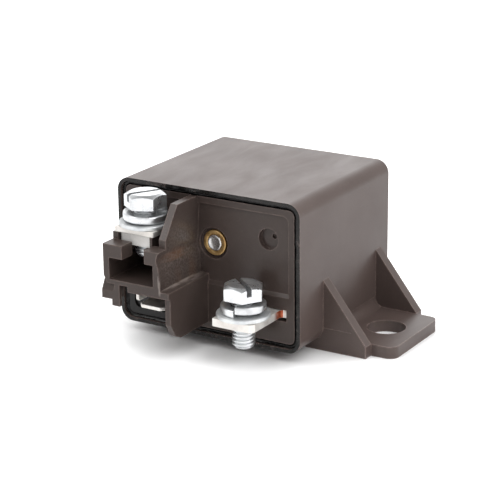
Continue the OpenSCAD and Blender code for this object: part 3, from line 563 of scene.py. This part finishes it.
# Screws: the head keeps the solid's own form, the shank gets its thread
def thread(cx, cy, low, high):
    """One start of thread with a cut-back tip. cx and cy are in metres, low and high in millimetres."""
    crest, root, pitch, tip = 2.47, 2.0, 0.8, 0.7
    rows_per_turn, around = 16, 56
    steep, flat_root, tip_in, tip_gain = 3.6, 0.28, 0.28, 0.3
    verts, faces = [], []
    rows = int((high - low) / pitch * rows_per_turn)
    for k in range(rows + 1):
        z = low + (high - low) * k / rows
        for i in range(around):
            a = 2 * math.pi * i / around
            phase = ((z - low) / pitch - i / around) % 1.0
            rise = max(0.0, min(1.0, (0.5 - abs(phase - 0.5)) * steep - flat_root))
            r = root + (crest - root) * rise
            r = min(r, root - tip_in + (z - low) / tip * (crest - root + tip_gain))
            verts.append((cx + r * math.cos(a) / PER_METRE, cy + r * math.sin(a) / PER_METRE, z / PER_METRE))
    for k in range(rows):
        for i in range(around):
            j = (i + 1) % around
            faces.append([k * around + i, k * around + j, (k + 1) * around + j, (k + 1) * around + i])
    faces.append(list(range(around))[::-1])
    faces.append([rows * around + i for i in range(around)])
    return verts, faces


HEAD_HEIGHT, WASHER_RADIUS, INTO_HEAD = 3.2, 5.8, 0.05  # in millimetres
HEAD_SLACK = 0.01  # how far below the head's underside a face still counts as its own
for number in (1, 2):
    node = f"terminal_screw_{number}"
    low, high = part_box(node)
    head_low = high[2] - HEAD_HEIGHT / PER_METRE
    rounded_copy(f"screw_head_{number}", node, HEAD_EDGE, zinc_steel, f"screw_{number}",
                 keep=lambda f: f.calc_center_median().z > head_low - HEAD_SLACK / PER_METRE)
    washer_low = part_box(f"flat_washer_{number}")[0]
    cx, cy = (washer_low[i] + WASHER_RADIUS / PER_METRE for i in (0, 1))
    verts, faces = thread(cx, cy, low[2] * PER_METRE, head_low * PER_METRE + INTO_HEAD)
    finish_mesh(f"screw_thread_{number}", verts, faces, zinc_steel, f"screw_{number}", (node,),
                sharp=70, weighted=False)


# Washers
def spring_ring(name, node, split_at, body):
    """Split ring that falls by its lift from one end to the other. split_at is an angle in degrees."""
    low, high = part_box(node)
    flat_low, flat_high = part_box(node.replace("spring", "flat"))
    cx, cy = (flat_low[0] + flat_high[0]) / 2 * PER_METRE, (flat_low[1] + flat_high[1]) / 2 * PER_METRE
    outer, inner, thick, lift, split = 4.9, 2.7, 1.7, 0.8, 4
    edge, steps = 0.34, 110
    base = low[2] * PER_METRE
    section = []
    corners = [(outer - edge, edge, -90), (outer - edge, thick - edge, 0),
               (inner + edge, thick - edge, 90), (inner + edge, edge, 180)]
    for ox, oz, start in corners:
        section += corner_arc(ox, oz, edge, start, start + 90, 3)
    verts, faces = [], []
    for i in range(steps + 1):
        a = math.radians(split_at + split / 2 + (360 - split) * i / steps)
        fall = lift * (1 - i / steps)
        for radius, h in section:
            x, y = cx + radius * math.cos(a), cy + radius * math.sin(a)
            verts.append((x / PER_METRE, y / PER_METRE, (base + fall + h) / PER_METRE))
    n = len(section)
    for i in range(steps):
        for k in range(n):
            m = (k + 1) % n
            faces.append([i * n + k, (i + 1) * n + k, (i + 1) * n + m, i * n + m])
    faces.append(list(range(n)))
    faces.append([steps * n + k for k in range(n)][::-1])
    finish_mesh(name, verts, [f[::-1] for f in faces], zinc_steel, body, (node,), sharp=50)


spring_ring("split_washer_1", "spring_washer_1", 50, "washers_1")
spring_ring("split_washer_2", "spring_washer_2", -82, "washers_2")

UNDER_EDGE, TOP_EDGE, BORE_EDGE, WASHER_BORE = 0.1, 0.28, 0.15, 2.78
for number in (1, 2):
    node = f"flat_washer_{number}"
    low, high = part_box(node)
    centre = middle(node) * PER_METRE
    base, top = low[2] * PER_METRE, high[2] * PER_METRE
    outer, inner = (high[0] - low[0]) * PER_METRE / 2, WASHER_BORE
    profile = corner_arc(outer - UNDER_EDGE, base + UNDER_EDGE, UNDER_EDGE, -90, 0, 3)
    profile += corner_arc(outer - TOP_EDGE, top - TOP_EDGE, TOP_EDGE, 0, 90, 5)
    profile += corner_arc(inner + BORE_EDGE, top - BORE_EDGE, BORE_EDGE, 90, 180, 3) + [(inner, base)]
    verts, faces = lathe(profile, steps=96, closed=True,
                         to_world=lambda x, y, h: Vector((centre.x + x, centre.y + y, h)) / PER_METRE)
    finish_mesh(f"plain_washer_{number}", verts, faces, zinc_washer, f"washers_{number}", (node,),
                sharp=50)

# Fine parting line across the front gusset
verts, faces = [], []
left_end, right_end, gusset_front, line_height, parts = 46.05, 52.9, 10.0, 5.3, 28
sway, sway_step = 0.02, 0.9
ridge = ((0.01, -0.11), (-0.05, -0.06), (-0.065, 0.0), (-0.05, 0.06), (0.01, 0.11))  # across the line, y and z
wide = len(ridge)
for i in range(parts + 1):
    x = left_end + (right_end - left_end) * i / parts
    z = line_height + sway * math.sin(i * sway_step)
    for dy, dz in ridge:
        verts.append(place(x, gusset_front + dy, z + dz))
for i in range(parts):
    for k in range(wide - 1):
        faces.append([i * wide + k, i * wide + k + 1, (i + 1) * wide + k + 1, (i + 1) * wide + k])
finish_mesh("parting_line", verts, faces, case_plastic, "case", (), weighted=False)

# The mechanism inside keeps its solids and gets real finishes
inside = {
    "yoke": magnet_steel, "armature": magnet_steel, "coil_bobbin": bobbin_plastic, "coil_winding": enamelled_wire,
    "coil_lead_main": enamelled_wire, "coil_lead_small": enamelled_wire, "armature_spring": spring_steel,
    "bridge_spring": spring_steel, "contact_carrier": carrier_plastic, "carrier_rivet": spring_steel,
    "contact_bridge": bare_copper, "moving_contacts": contact_silver, "fixed_contacts": contact_silver,
}
for node, material in inside.items():
    mesh = nodes[node].data
    for i in range(max(1, len(mesh.materials))):
        if i < len(mesh.materials):
            mesh.materials[i] = material
        else:
            mesh.materials.append(material)

# Floor: white card with a faint glow, which fades where something stands close
FLOOR_REACH, FLOOR_GLOSS, GLOW, GLOW_FADE, NEAR, NEAR_SAMPLES = 4, 0.3, 0.42, 3.0, 0.012, 8
floor_mesh = bpy.data.meshes.new("floor")
corners = [(x * FLOOR_REACH, y * FLOOR_REACH, 0) for x, y in ((-1, -1), (1, -1), (1, 1), (-1, 1))]
floor_mesh.from_pydata(corners, [], [(0, 1, 2, 3)])
floor = bpy.data.objects.new("floor", floor_mesh)
scene.collection.objects.link(floor)
p = Paint("floor_card")
shade = p.mix(p.span(p.noise(6, 3, 0.5), 0.3, 0.7), (0.925, 0.925, 0.925), (0.945, 0.945, 0.945))
sheen = p.span(p.noise(30, 3, 0.5), 0.3, 0.7, 0.3, 0.4)
floor_mesh.materials.append(p.done(shade, sheen, p.bump(p.noise(800, 2, 0.5), 0.1, 0.00002)))
p.shader.inputs["Specular IOR Level"].default_value = FLOOR_GLOSS
path = p.node("ShaderNodeLightPath")
through = p.math("MAXIMUM", path.outputs["Is Glossy Ray"], path.outputs["Is Transmission Ray"])
seen = p.math("MAXIMUM", path.outputs["Is Camera Ray"], through)
near = p.node("ShaderNodeAmbientOcclusion")
near.samples = NEAR_SAMPLES
near.inputs["Distance"].default_value = NEAR
glow = p.node("ShaderNodeEmission")
faded = p.times(p.math("POWER", near.outputs["AO"], GLOW_FADE), GLOW)
p.link(p.times(seen, faded), glow.inputs["Strength"])
both = p.node("ShaderNodeAddShader")
p.link(p.shader.outputs[0], both.inputs[0])
p.link(glow.outputs[0], both.inputs[1])
p.link(both.outputs[0], p.out.inputs[0])


# Light: soft boxes above, at the right, behind at the left and in front at the left, and pale surroundings
def soft_box(name, where, aim, width, height, power, mirrored=True):
    """Adds a lamp. Places and sizes are in metres, power is in watts."""
    data = bpy.data.lights.new(name, "AREA")
    data.shape = "RECTANGLE"
    data.size, data.size_y = width, height
    data.energy = power
    lamp = bpy.data.objects.new(name, data)
    lamp.location = where
    lamp.rotation_euler = (Vector(aim) - Vector(where)).to_track_quat("-Z", "Y").to_euler()
    lamp.visible_glossy = mirrored
    scene.collection.objects.link(lamp)


soft_box("top_light", (0.05, -0.1, 1.0), (0, 0, 0), 1.4, 1.4, 8.5, mirrored=False)
soft_box("right_light", (0.85, -0.1, 0.7), (0, 0, 0.02), 0.7, 0.7, 4.8)
soft_box("back_light", (-0.6, 0.95, 0.45), (0, 0, 0.02), 1.2, 0.5, 2.2)
soft_box("key_light", (-0.58, -0.65, 0.74), (0, 0, 0.02), 0.4, 0.4, 2.3)

# Surroundings: white and darker overhead where seen, mirrored or let through; grey where they only light
AMBIENT = (0.44, 0.44, 0.445, 1)
OVERHEAD_FROM, OVERHEAD_TO, OVERHEAD = 0.7, 0.92, 0.3
world = bpy.data.worlds.new("surroundings")
scene.world = world
world.use_nodes = True
tree = world.node_tree
tree.nodes.clear()
out = tree.nodes.new("ShaderNodeOutputWorld")
ambient = tree.nodes.new("ShaderNodeBackground")
ambient.inputs[0].default_value = AMBIENT
seen = tree.nodes.new("ShaderNodeBackground")
direction = tree.nodes.new("ShaderNodeTexCoord")
height = tree.nodes.new("ShaderNodeSeparateXYZ")
tree.links.new(direction.outputs["Generated"], height.inputs[0])
overhead = tree.nodes.new("ShaderNodeMapRange")
overhead.inputs["From Min"].default_value = OVERHEAD_FROM
overhead.inputs["From Max"].default_value = OVERHEAD_TO
overhead.inputs["To Min"].default_value = 1.0
overhead.inputs["To Max"].default_value = OVERHEAD
tree.links.new(height.outputs["Z"], overhead.inputs["Value"])
tree.links.new(overhead.outputs["Result"], seen.inputs[0])
path = tree.nodes.new("ShaderNodeLightPath")
either = tree.nodes.new("ShaderNodeMath")
either.operation = "MAXIMUM"
tree.links.new(path.outputs["Is Camera Ray"], either.inputs[0])
tree.links.new(path.outputs["Is Glossy Ray"], either.inputs[1])
every = tree.nodes.new("ShaderNodeMath")
every.operation = "MAXIMUM"
tree.links.new(either.outputs[0], every.inputs[0])
tree.links.new(path.outputs["Is Transmission Ray"], every.inputs[1])
blend = tree.nodes.new("ShaderNodeMixShader")
tree.links.new(every.outputs[0], blend.inputs[0])
tree.links.new(ambient.outputs[0], blend.inputs[1])
tree.links.new(seen.outputs[0], blend.inputs[2])
tree.links.new(blend.outputs[0], out.inputs[0])
